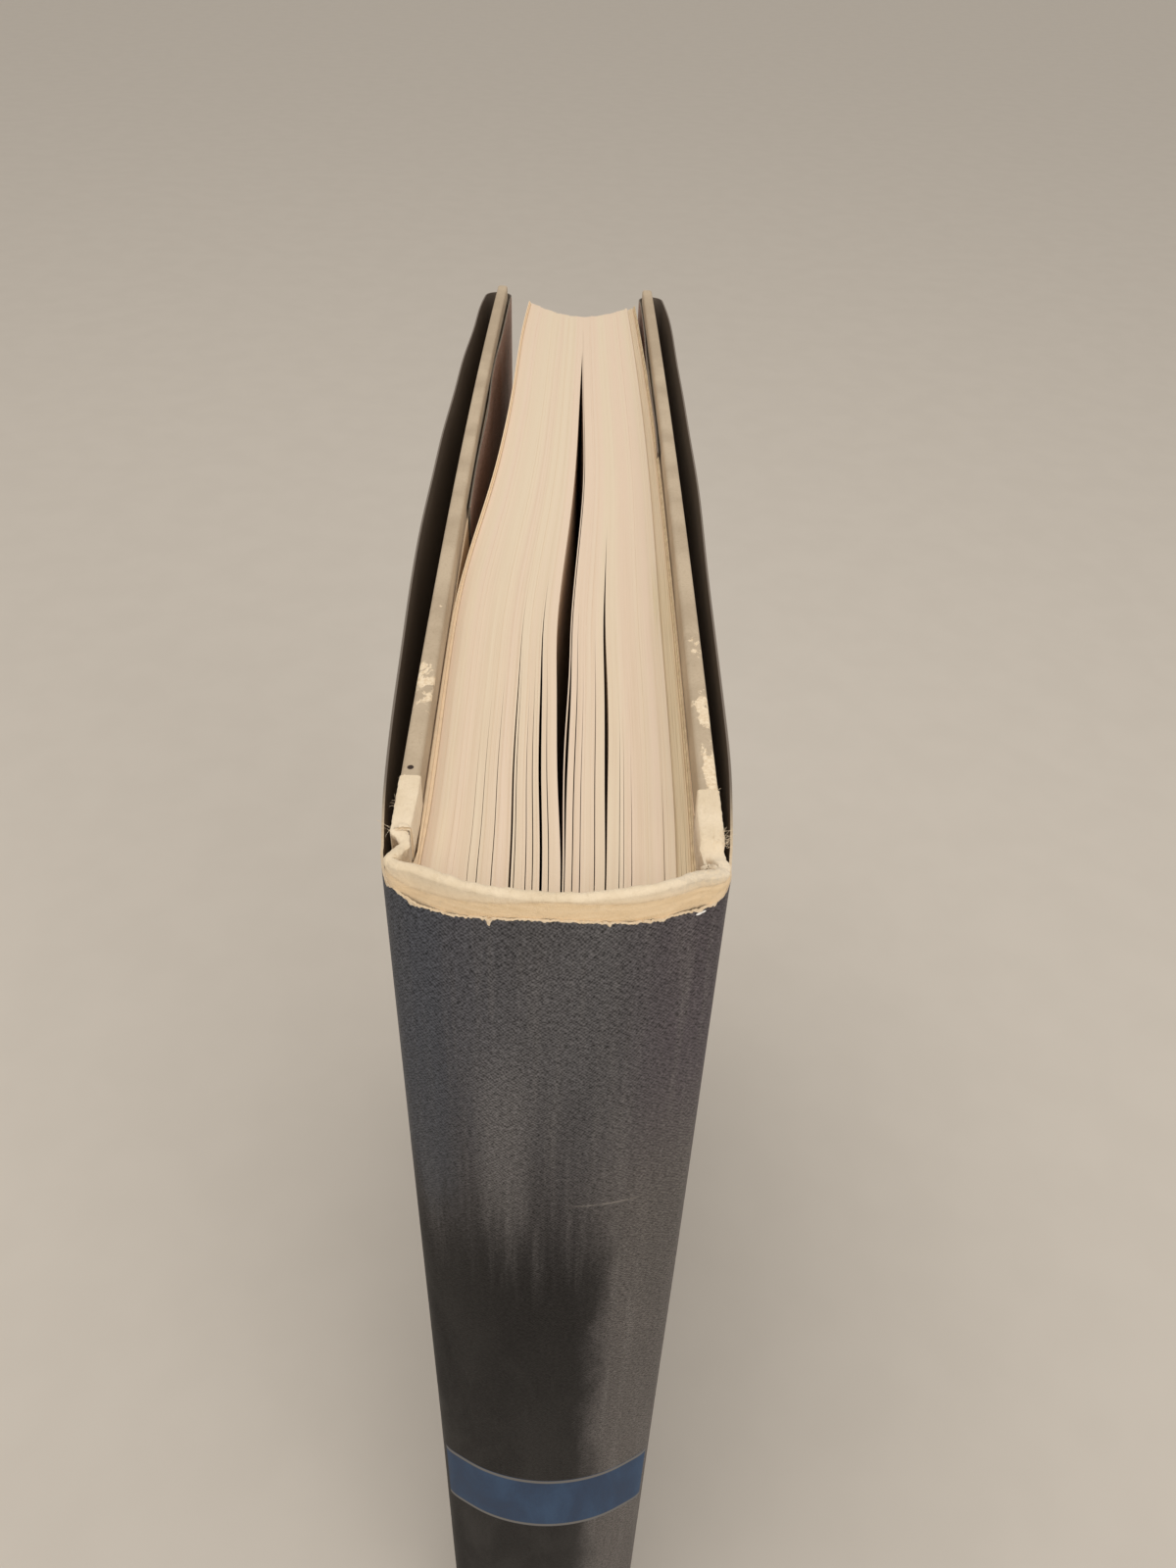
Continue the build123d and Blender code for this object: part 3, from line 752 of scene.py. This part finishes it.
def make_cloth(side):
    """Half the case's cloth: rolled rims at the head and tail, gathered joint, edge of the board."""
    sign = SIDES[side]["sign"]
    back = side == "back"
    low, high = cloth_lines(side)
    low_run, high_run = lengths(low)[-1], lengths(high)[-1]
    share = np.r_[np.linspace(0, 0.5, 70, endpoint=False),
                  np.linspace(0.5, 0.8, 90, endpoint=False), np.linspace(0.8, 1.0, 40)]
    low = resample(low, share * low_run)
    high = resample(high, share * high_run)
    at = share * low_run
    count = len(share)
    forward = high[:, 1]
    joint = high[:, 0] > JOINT_X
    on_board = joint * ramp(forward, 2.6, 1.3)
    width = np.where(joint, look_up(forward, WIDTHS[side]), ROLL)
    width = width + 0.07 * wavy(at, ((7, 1), (2.5, 0.6)), 41 + sign) * (1 - on_board)
    crease = look_up(at, CREASE[side])
    corner = joint * bell(forward, 0.1, 0.9)
    neck = joint * bell(forward, 2.5, 0.7)
    rise = -0.07 * np.abs(wavy(at, ((9, 1), (3, 0.6)), 43 + sign)) * (1 - on_board) - 0.3 * neck
    corner_at = at[np.argmax(np.where(forward < 1.0, high[:, 0], 0))]
    if back:
        rise = rise - 0.5 * bell(at, corner_at, 2.3)
    # The cross-section: from the end of one turn-in, over its rim and down the outside to the other
    section = [(1.0, d) for d in (TURN_IN, 8.0, 4.0, 2.4, 1.5, 1.0)]
    section += [(0.5 + 0.5 * cos(a), 0.5 * (1 - sin(a))) for a in np.linspace(0, pi, 37)]
    section += [(0.0, d) for d in (0.65, 0.8, 1.0, 1.2, 1.4, 1.6, 1.8, 2.0, 2.2, 2.4, 2.7, 3.0, 3.5, 4.2,
                                   5.5, 9.0, 20.0, 60.0)]
    surface = Surface()
    for tail in (True, False):
        for share_in, drop in section if tail else section[::-1]:
            inner, outer = share_in == 1.0, share_in == 0.0
            hold = exp(-max(drop - (4.5 if inner else 2.0), 0) / 3.5)
            plan = low + (high - low) * hold * (1.0 if tail else 0.25)
            if not back and tail and outer:
                # Below the roll the cloth falls back, which leaves a notch beside the board
                notch = 0.5 * ramp(drop, 0.4, 0.8) * exp(-drop / 8.0)
                plan = plan - np.outer(notch * joint * bell(forward, 2.5, 1.0), (1, 0))
            face = normals(plan)
            drop_here, split = drop, 0.0
            depth = share_in * width
            if not inner and not outer:
                # On the board the rim is square with small round corners, not a roll
                aside, up = 2 * share_in - 1, 1 - 2 * drop
                square_in = 0.5 + 0.5 * np.sign(aside) * abs(aside) ** 0.42
                depth = width * (share_in * (1 - on_board) + square_in * on_board)
                drop_here = drop * (1 - on_board) + 0.5 * (1 - up ** 0.42) * on_board
                if back and tail:
                    # Two folds lie side by side in this joint
                    split = ramp(forward, 2.6, -0.7) * ramp(forward, -0.2, 0.5) * joint
                    split = split * bell(share_in, 0.6 + 0.05 * forward, 0.1)
                    drop_here = drop_here + 1.2 * split
            if outer:
                # A shallow step where the rim's roll ends
                under = smoothstep((drop - crease) / 0.35 + 0.5)
                lip = bell(drop, crease, 0.16)
                depth = depth + (0.06 * under + 0.05 * lip) * exp(-drop / 4.0) * (1 - on_board)
            ruck = 0.07 * (corner + neck) * wavy(at * 1.8 + drop * 1.1, ((2.4, 1.0), (1.1, 0.6)), 47 + sign)
            ruck = ruck * exp(-drop / 4.0)
            fuzz = 0.02 * wavy(at + drop * 0.37, ((1.3, 1.0), (0.6, 0.8)), int(100 + 10 * share_in))
            fuzz = fuzz * exp(-drop / 1.5)
            plan = plan + face * (depth + ruck + fuzz)[:, None]
            z = TAIL + rise * exp(-drop / 1.5) - drop_here
            if not tail:
                z = TAIL - z
            # Below the crease the cloth takes its warmer colour; half of it reaches up the roll's lower
            # face from 0.2 mm down, partly its own warmer cream and partly painted light against the shade
            # there
            below = np.maximum(smoothstep((drop - crease) / 0.25 + 0.5),
                               0.5 * ramp(drop, 0.2, crease)) * (share_in < 0.35)
            # Painted shade, laid on in brown: on the inner wall at the neck, in the back joint's hollow and
            # along its gap, in the front notch, in the split between the back folds, and along the crease
            shade = 0.8 * neck * exp(-drop / 3.0) * (share_in >= 0.97)
            if back and share_in >= 0.8:
                shade = shade + 0.9 * joint * bell(forward, -0.15, 0.3) * exp(-drop / 3.0)
            if back and tail and inner:
                shade = shade + 0.55 * joint * ramp(drop, 0.8, 1.6) * ramp(drop, 8, -4)
            if not back and share_in < 0.3:
                notch = ramp(forward, 1.2, 0.8) * ramp(forward, 4.2, -0.6)
                shade = shade + notch * joint * ramp(drop, 0.15, 0.5)
            if back and tail and not inner and not outer:
                shade = shade + 0.75 * split
            if outer:
                shade = shade + 0.3 * bell(drop, crease, 0.12) * (1 - on_board)
            surface.row(plan * (sign, 1), z, sign * at, drop, soiled=np.clip(shade, 0, 1), below=below)
    obj = surface.mesh(f"case_cloth_{side}", grid_faces(2 * len(section), count, flip=sign > 0))
    dress(obj, book_cloth)
    thicken(obj, CLOTH)
    for vertex in obj.data.vertices:
        vertex.co.z = max(vertex.co.z, 0.0)
    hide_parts(f"{side}_cloth", "spine_cloth")
    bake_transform(obj)


def make_fibres():
    """Frayed threads that stand off the cloth where the joints and rims have rubbed."""
    draw = np.random.default_rng(19)
    # By the body that they ride on: middle, spread and number of each tuft
    groups = {
        "front_cover": ((-16.25, 8.6, 0.35, 7), (-16.2, 4.3, 0.25, 5), (-15.9, 12.4, 0.3, 3)),
        "back_cover": ((16.1, 3.6, 0.5, 26), (16.0, 5.0, 0.4, 8), (16.05, 11.8, 0.3, 4),
                       (15.0, 3.9, 0.6, 16)),
        "book_block": [(x, spine_y(abs(x)) + 0.6, 0.15, 2)
                       for x in (-14, -12.5, -10, -6, -1, 3, 9, 12.5, 14, 14.8)],
    }
    for body, places in groups.items():
        verts, faces = [], []
        for x, y, spread, count in places:
            for _ in range(count):
                start = np.array([x + draw.normal(0, 0.3) * spread, y + draw.normal(0, spread),
                                  TAIL - 0.25])
                lean = np.array([np.sign(x) * draw.uniform(-0.2, 1.0), draw.uniform(-0.8, 0.8),
                                 draw.uniform(0.1, 1.0)])
                curl = draw.normal(0, 0.5, 3)
                reach = draw.uniform(0.35, 1.1)
                t = np.linspace(0, 1, 6)[:, None]
                path = start + reach * (lean * t + curl * t * t * 0.7)
                run = (path[-1] - path[0]) / np.linalg.norm(path[-1] - path[0])
                aside = np.cross(run, (0.6, 0.0, 0.8))
                aside /= np.linalg.norm(aside)
                ahead = np.cross(run, aside)
                base = len(verts)
                for k, point in enumerate(path):
                    size = 0.02 * (1 - 0.6 * k / 5)
                    for turn in (0, 2 * pi / 3, 4 * pi / 3):
                        verts.append(point + size * (cos(turn) * aside + sin(turn) * ahead))
                for k in range(5):
                    for j in range(3):
                        a, b = base + 3 * k + j, base + 3 * k + (j + 1) % 3
                        faces.append((a, b, b + 3, a + 3))
                faces += [(base + 2, base + 1, base), (base + 15, base + 16, base + 17)]
        obj = mesh_object(f"cloth_fibres_{body}", verts, faces)
        dress(obj, book_cloth)
        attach(obj, body)


# Board covering


def make_side_paper(side):
    """Paper round the board beyond the cloth, with its rounded edges and its turn-ins."""
    sign = SIDES[side]["sign"]
    thick = COVER - 2 * PAPER_INSET
    radius = BOARD_ROUND
    turn = np.linspace(0, pi / 2, 6)
    along = np.r_[np.arange(CLOTH_ON_BOARD[side] - 1.5, 60, 0.5),
                  np.arange(60, BOARD_WIDTH - radius, 2.0),
                  BOARD_WIDTH - radius + radius * np.sin(turn)]
    insets = np.zeros_like(along)
    insets[-len(turn):] = radius * (1 - np.cos(turn))
    # Loop round the board's section from mid height: inner face, tail edge, outer face, head edge
    levels = np.r_[np.geomspace(0.25, TURN_IN, 14), np.linspace(TURN_IN, TAIL / 2, 8)[1:]]
    half = thick / 2
    tail_loop = [(half + (half - radius) * np.sign(cos(a)) * (abs(cos(a)) > 0.01) + radius * cos(a),
                  radius * (1 - sin(a))) for a in np.linspace(0, pi, 17)]
    loop = [(thick, radius + level) for level in levels[::-1]]
    loop += tail_loop
    loop += [(0.0, radius + level) for level in levels]
    full = loop + [(depth, TAIL - drop) for depth, drop in loop[::-1][1:]]
    surface = Surface()
    local = along - CLOTH_ON_BOARD[side]
    edge_noise = wavy(along, ((9, 1), (3, 0.6)), 61 + sign)
    for depth, drop in full:
        inset_depth = depth + np.clip((half - depth) / half, -1, 1) * insets
        inset_drop = drop + np.clip((TAIL / 2 - drop) / (TAIL / 2 - radius), -1, 1) * insets
        plan = np.array([face_point(side, a, PAPER_INSET + d) for a, d in zip(along, inset_depth)])
        near = min(drop, TAIL - drop)
        if side == "front":
            patch = (0.85 * bell(local, 17, 4.5) + 0.3 * bell(local, 32, 5) + 0.3 * bell(local, 8, 3)
                     + 0.1 * np.exp(-local / 8))
        else:
            patch = 1.05 * bell(local, 13.5, 4) + 0.5 * bell(local, 26, 6) + 1.1 * bell(local, 2.5, 4.6)
            patch = patch * (1.0 if depth < 1.35 else 0.3)
        rubbed = exp(-((near / 1.1) ** 2)) * (0.12 + patch)
        rubbed = rubbed * (1 if drop < TAIL / 2 else 0.7) + 0.08 * edge_noise * exp(-near / 0.8)
        surface.row(plan, TAIL - inset_drop, along, depth, worn=rubbed,
                    front_tail=np.full_like(along, side == "front" and drop < 0.6))
    columns = len(along)
    count = len(full)

    def bare(i, j):
        """Whether a face would lie on the inner side of the board, past the turn-ins."""
        inner = min(full[i][0], full[i + 1][0]) > thick - 0.01
        return inner and TURN_IN < full[i][1] < TAIL - TURN_IN and along[j] < BOARD_WIDTH - TURN_IN

    faces = grid_faces(count, columns, flip=sign > 0, skip=bare)
    # Close the fore-edge: join each point of the loop's tail half to its twin on the head half
    for i in range(count // 2):
        a, b, c, d = (row * columns - 1 for row in (i + 1, i + 2, count - i - 1, count - i))
        quad = (a, b, c, d) if b != c else (a, b, d)
        faces.append(quad if sign > 0 else quad[::-1])
    obj = surface.mesh(f"side_paper_{side}", faces)
    dress(obj, cover_paper)
    thicken(obj, PAPER)
    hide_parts(f"{side}_side_paper")
    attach(obj, f"{side}_cover")


# Leaves

front_side = natural_spline((
    (-1.5, -13.25), (3, -13.5), (9, -13.45), (20, -13.55), (35, -13.9), (50, -14.1), (60, -13.95),
    (70, -13.4), (80, -12.65), (90, -11.95), (102, -11.35), (118, -10.85), (137, -10.6), (158, -10.45),
    (181, -9.6)))
back_side = natural_spline((
    (-1.5, 13.05), (3, 13.2), (9, 13.4), (36, 13.75), (60, 13.85), (91, 13.8), (132, 13.25), (179, 11.9)))

# The wide gap between two sections, as its two sides at the tail by distance forward
GAP_FORWARD = (-5, 5, 17, 36, 49, 59, 73, 90, 109, 130, 159, 180)
gap_left = natural_spline(tuple(zip(
    GAP_FORWARD, (0.3, 0.24, -0.32, -0.87, -1.15, -0.91, -0.25, 0.45, 0.86, 1.1, 1.45, 1.35))))
gap_right = natural_spline(tuple(zip(
    GAP_FORWARD, (0.72, 0.72, 0.68, 0.88, 0.86, 1.1, 1.62, 2.14, 2.1, 1.75, 1.47, 1.37))))

# Narrow gaps: place across the spine edge, width there, widest width, where it is widest, where it
# closes, and how deep it runs
LEAF_GAPS = (
    (-8.0, 0.06, 0.04, 12, 30, 60),
    (-7.1, 0.1, 0.06, 10, 36, 60),
    (-5.7, 0.1, 0.08, 12, 42, 70),
    (-3.95, 0.22, 0.2, 14, 62, 110),
    (-3.7, 0.09, 0.08, 14, 50, 90),
    (-2.6, 0.1, 0.08, 10, 40, 60),
    (-1.98, 0.1, 0.1, 12, 44, 60),
    (-1.3, 0.26, 0.32, 22, 66, 120),
    (-0.7, 0.09, 0.1, 12, 48, 60),
    (1.2, 0.1, 0.12, 20, 60, 120),
    (1.9, 0.1, 0.08, 10, 44, 60),
    (3.35, 0.1, 0.1, 14, 56, 60),
    (4.4, 0.16, 0.46, 28, 80, 120),
    (5.7, 0.08, 0.06, 10, 36, 60),
    (6.1, 0.06, 0.05, 10, 34, 60),
    (6.9, 0.08, 0.05, 9, 28, 50),
    (10.3, 0.08, 0.05, 8, 24, 50),
    (12.1, 0.09, 0.02, 4, 14, 20),
    (12.6, 0.07, 0.02, 4, 11, 20),
)


def gap_width(gap, y):
    """Width of a narrow gap along the depth of the book."""
    _, start, widest, peak, close, _ = gap
    rise = start + (widest - start) * smoothstep(y / peak)
    fall = widest * smoothstep((close - y) / (close - peak))
    return np.where(y < peak, rise, fall)


def main_opening(level):
    """How far the wide gap stands open at a level up the book, as a share."""
    return smoothstep(1 - (1 - level) * (BLOCK_TAIL - BLOCK_HEAD) / MAIN_GAP_DEPTH)


def leaf_place(across, y, level, after):
    """Where a leaf stands at y, from its place across the spine edge and its level up the book."""
    deep = (1 - level) * (BLOCK_TAIL - BLOCK_HEAD)
    opened = main_opening(level)
    middle = (gap_left(y) + gap_right(y)) / 2
    if across < MAIN_GAP or (across == MAIN_GAP and not after):
        low, high = front_side(y), middle + (np.minimum(gap_left(y), middle) - middle) * opened
        first, last = -SPINE_LEFT, MAIN_GAP
    else:
        low, high = middle + (np.maximum(gap_right(y), middle) - middle) * opened, back_side(y)
        first, last = MAIN_GAP, SPINE_RIGHT
    before = total = 0.0
    for gap in LEAF_GAPS:
        if first < gap[0] < last:
            width = gap_width(gap, y) * smoothstep(1 - deep / gap[5])
            total = total + width
            if gap[0] < across - 1e-9 or (after and abs(gap[0] - across) < 1e-9):
                before = before + width
    return low + before + (across - first) / (last - first) * (high - low - total)


def painted_leaf_shade(across, y):
    """How much painted shade the leaves at a place take: all of the last ones, and those beside them once.
    """
    if across > KHAKI_FROM:
        return 0.9 - 0.36 * ramp(y, 60, 12)
    return (across > KHAKI_FROM - 0.7) * 0.85 * bell(y, 57, 7)


def leaf_bundle(mesh, a, b, drop, fore, thin=None):
    """Add one bundle of leaves between two places across the spine edge."""
    verts, faces, flow, tone = mesh
    stations = np.r_[np.arange(0, 24, 2.0), np.arange(24, 120, 4.0), np.linspace(120, 181, 14)]
    stations = stations / stations[-1]
    levels = (0.0, 0.3, 0.6, 0.8, 0.92, 0.98, 1.0)
    faces += slab_faces(len(verts), len(levels), len(stations))
    for level in levels:
        for across, after, aside in ((a, True, -0.07), (b, False, 0.07)):
            x0 = float(leaf_place(across, np.array(-2.0), level, after))
            y0 = SPINE_CENTRE - sqrt((SPINE_RADIUS - LEAF_DEPTH) ** 2 - x0**2)
            y = y0 + stations * (fore - y0)
            x = leaf_place(across, y, level, after) if thin is None else thin(y, level) + aside
            lift = LEAF_LIFT * ramp(y, 20, 160)
            z = BLOCK_HEAD + level * (BLOCK_TAIL + lift - BLOCK_HEAD) - drop * ramp(level, 0.9, 0.1)
            verts.extend(zip(x, y, z))
            flow.extend(np.column_stack([np.full_like(y, across), y, z]) * MM)
            tone.extend(painted_leaf_shade((a + b) / 2, y))


def make_leaves():
    """The leaves as thin bundles that part at the gaps, each with its own height and fore-edge."""
    draw = np.random.default_rng(7)
    cuts = sorted({-SPINE_LEFT, SPINE_RIGHT, MAIN_GAP, KHAKI_FROM, *(gap[0] for gap in LEAF_GAPS)})
    fine = []
    for a, b in zip(cuts, cuts[1:]):
        size = 0.3 if a >= KHAKI_FROM else 0.42
        parts = max(1, round((b - a) / size))
        inner = np.linspace(0, 1, parts + 1)[1:-1] + draw.uniform(-0.3, 0.3, max(parts - 1, 0)) / parts
        fine += [a, *(a + (b - a) * inner)]
    fine.append(SPINE_RIGHT)
    mesh = ([], [], [], [])
    for a, b in zip(fine, fine[1:]):
        middle = (a + b) / 2
        drop = draw.uniform(0, 0.1) + 0.08 * (1 + sin(middle * 1.9)) / 2
        if middle > KHAKI_FROM:
            drop = 0.5 + draw.uniform(0, 0.15)
        across = (middle + SPINE_LEFT) / (SPINE_LEFT + SPINE_RIGHT)
        fore = FORE_Y - FORE_HOLLOW * (1 - abs(2 * across - 1) ** 1.8) - draw.uniform(0, 0.15)
        leaf_bundle(mesh, a, b, drop, fore)

    def single(y, level):
        """A single leaf that stands by itself in the wide gap."""
        left, right = gap_left(y) + 0.1, gap_right(y) - 0.1
        share = 0.7 + 0.25 * ramp(y, 20, 25)
        middle = (left + right) / 2
        return middle + (left + (right - left) * share - middle) * main_opening(level)

    leaf_bundle(mesh, MAIN_GAP, MAIN_GAP + 0.14, 0.1, 168.0, thin=single)
    verts, faces, flow, tone = mesh
    obj = mesh_object("leaves", verts, faces, flow, sharp=35, tone=tone)
    dress(obj, leaf_edges)
    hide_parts("text_block")
    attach(obj, "book_block")


def make_flyleaf(side):
    """The free endpaper, as two thin sheets that lie along the leaves."""
    front = side == "front"
    sign = SIDES[side]["sign"]
    y = np.r_[np.arange(-0.6, 24, 1.2), np.arange(24, 176, 4.0), [177.6]]
    leaves = np.abs((front_side if front else back_side)(y))
    board = np.array([abs(face_point(side, max(yi - BOARD_START, 0), COVER + 0.1)[0]) for yi in y])
    room = np.maximum(board - (0.0 if front else 0.1) - leaves, 0.36)
    loose = ramp(y, 44, 20)
    if not front:
        loose = np.maximum(loose, ramp(y, 2, 8))
    full = np.maximum(room / 2 - 0.02, 0.1)
    thin = full + (0.17 - full) * loose
    outer_gap = (0.04 + full) * (1 - loose) + 0.21 * loose
    flare = 0.5 * ramp(y, 4.7, -1.3) if front else 0.0
    verts, faces, flow, toned = [], [], [], []
    for head, tail, gap, spread in ((1.6, -0.25, 0.02, 0.0), (1.7, -0.5, outer_gap, flare)):
        end = BLOCK_TAIL - tail - (0.0 if front else 0.3)
        heights = (head, 60.0, 130.0, 200.0, 252.0, end - 0.5, end)
        faces += slab_faces(len(verts), len(heights), len(y))
        for height in heights:
            z = height + LEAF_LIFT * ramp(y, 20, 160) * (height / BLOCK_TAIL)
            for x in (leaves + gap, leaves + gap + thin + spread * (height > 253)):
                verts.extend(zip(sign * x, y, z))
                flow.extend(np.column_stack([x, y, z]) * MM)
                # The back flyleaf's top edge takes the khaki painted shade of the last leaves
                toned.extend(0.95 * smoothstep(y / 3 + 1) * (height == end and not front))
    if front:
        faces = [(face[0], *face[:0:-1]) for face in faces]
    obj = mesh_object(f"endpaper_{side}", verts, faces, flow, toned=toned)
    dress(obj, flyleaf_paper)
    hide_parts(f"{side}_flyleaf")
    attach(obj, "book_block")


# Stage


def make_stage():
    size = 6.0
    mesh = bpy.data.meshes.new("floor")
    mesh.from_pydata([(-size, -size, 0), (size, -size, 0), (size, size, 0), (-size, size, 0)], [],
                     [(0, 1, 2, 3)])
    floor = add_object("floor", mesh)
    m = Shade("floor", roughness=0.9, specular=0.1)
    m.colour = m.mix(m.remap(m.noise(m.place(), 40.0, 2), 0.3, 0.7), (208, 200, 189), (210, 202, 191))
    dress(floor, m.finish())


def area_light(name, spot, power, colour):
    data = bpy.data.lights.new(name, "AREA")
    data.shape = "DISK"
    data.size = 0.8
    data.energy = power
    data.color = colour
    light = add_object(name, data)
    light.location = spot
    light.rotation_euler = (Vector((0, 0, 0.2)) - Vector(spot)).to_track_quat("-Z", "Y").to_euler()


def make_lights():
    world = bpy.data.worlds.new("world")
    bpy.context.scene.world = world
    world.use_nodes = True
    world.node_tree.nodes["Background"].inputs["Color"].default_value = (1.0, 0.96, 0.91, 1.0)
    world.node_tree.nodes["Background"].inputs["Strength"].default_value = 0.62
    area_light("key", (-0.2, -0.25, 1.3), 4.6, (1.0, 0.97, 0.93))
    area_light("fill", (0.6, -1.0, 0.75), 4.2, (1.0, 0.98, 0.95))


book_cloth = cloth_material()
jacket_ink = jacket_print()
jacket_core = paper_core()
# The jacket's inner face is a dark brown-grey: painted shade for the narrow gap between the jacket and the
# boards
jacket_reverse_shade = plain_paper("jacket_reverse_painted_shade", (124, 112, 100), (110, 98, 87))
cover_paper = side_paper_material()
leaf_edges = leaf_material()
endpaper = plain_paper("endpaper", (243, 219, 187), (236, 209, 174))
flyleaf_paper = plain_paper("flyleaf", (243, 219, 187), (236, 209, 174), toned=True)
board_core = plain_paper("grey_board", (150, 138, 120), (132, 120, 102), scale=1600)
kraft = plain_paper("kraft_lining", (168, 138, 100), (150, 120, 84), scale=1200)
gauze = gauze_material()

# The pieces that the solids' own meshes show
NODE_MATERIALS = {
    "front_pastedown": endpaper, "back_pastedown": endpaper,
    "spine_mull": gauze, "front_mull_flange": gauze, "back_mull_flange": gauze,
    "spine_lining": kraft, "spine_inlay": board_core, "front_board": board_core, "back_board": board_core,
}
for node, material in NODE_MATERIALS.items():
    dress(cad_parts[node], material)

make_camera()
make_stage()
make_lights()
make_leaves()
make_fibres()
for cover_side in ("front", "back"):
    make_jacket(cover_side)
    make_cloth(cover_side)
    make_side_paper(cover_side)
    make_flyleaf(cover_side)

scene = bpy.context.scene
scene.view_settings.view_transform = "Standard"
